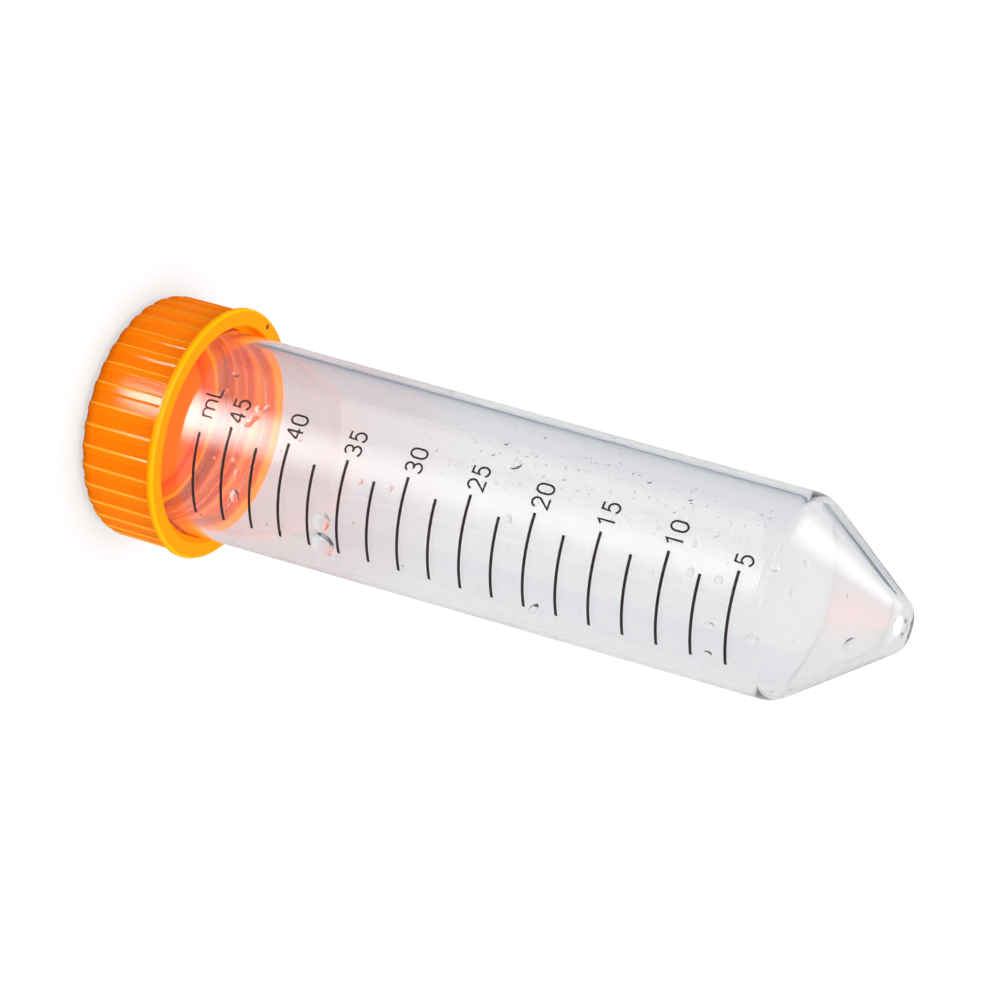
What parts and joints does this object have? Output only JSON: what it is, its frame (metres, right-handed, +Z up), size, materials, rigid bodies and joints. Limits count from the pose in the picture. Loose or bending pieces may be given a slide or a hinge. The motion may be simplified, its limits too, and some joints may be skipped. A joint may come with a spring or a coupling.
{
  "type": "50 ml conical tube",
  "caption": "Clear graduated conical centrifuge tube closed by a ribbed, flanged orange screw cap, standing upside down on the cap.",
  "frame": {"origin": "centre of the cap's flat top, on which the closed tube stands upside down", "axes": "+Z up the tube's axis from the cap to the conical tip; -Y towards the printed graduation marks"},
  "size_m": [0.036, 0.036, 0.1148],
  "materials": {
    "clear_tube": "clear, glossy, faintly lavender polypropylene",
    "cap_plastic": "glossy orange moulded polyethylene",
    "print": "screen-printed near-black ink",
    "water": "small drops of clear water"
  },
  "bodies": {
    "cap": {"cap": "cap_plastic"},
    "tube": {"tube": "clear_tube"}
  },
  "joints": [
    {"name": "tube_off_cap", "type": "slide", "parent": "cap", "child": "tube", "axis": [0, 0, 1], "range_m": [0, 0.03]}
  ]
}
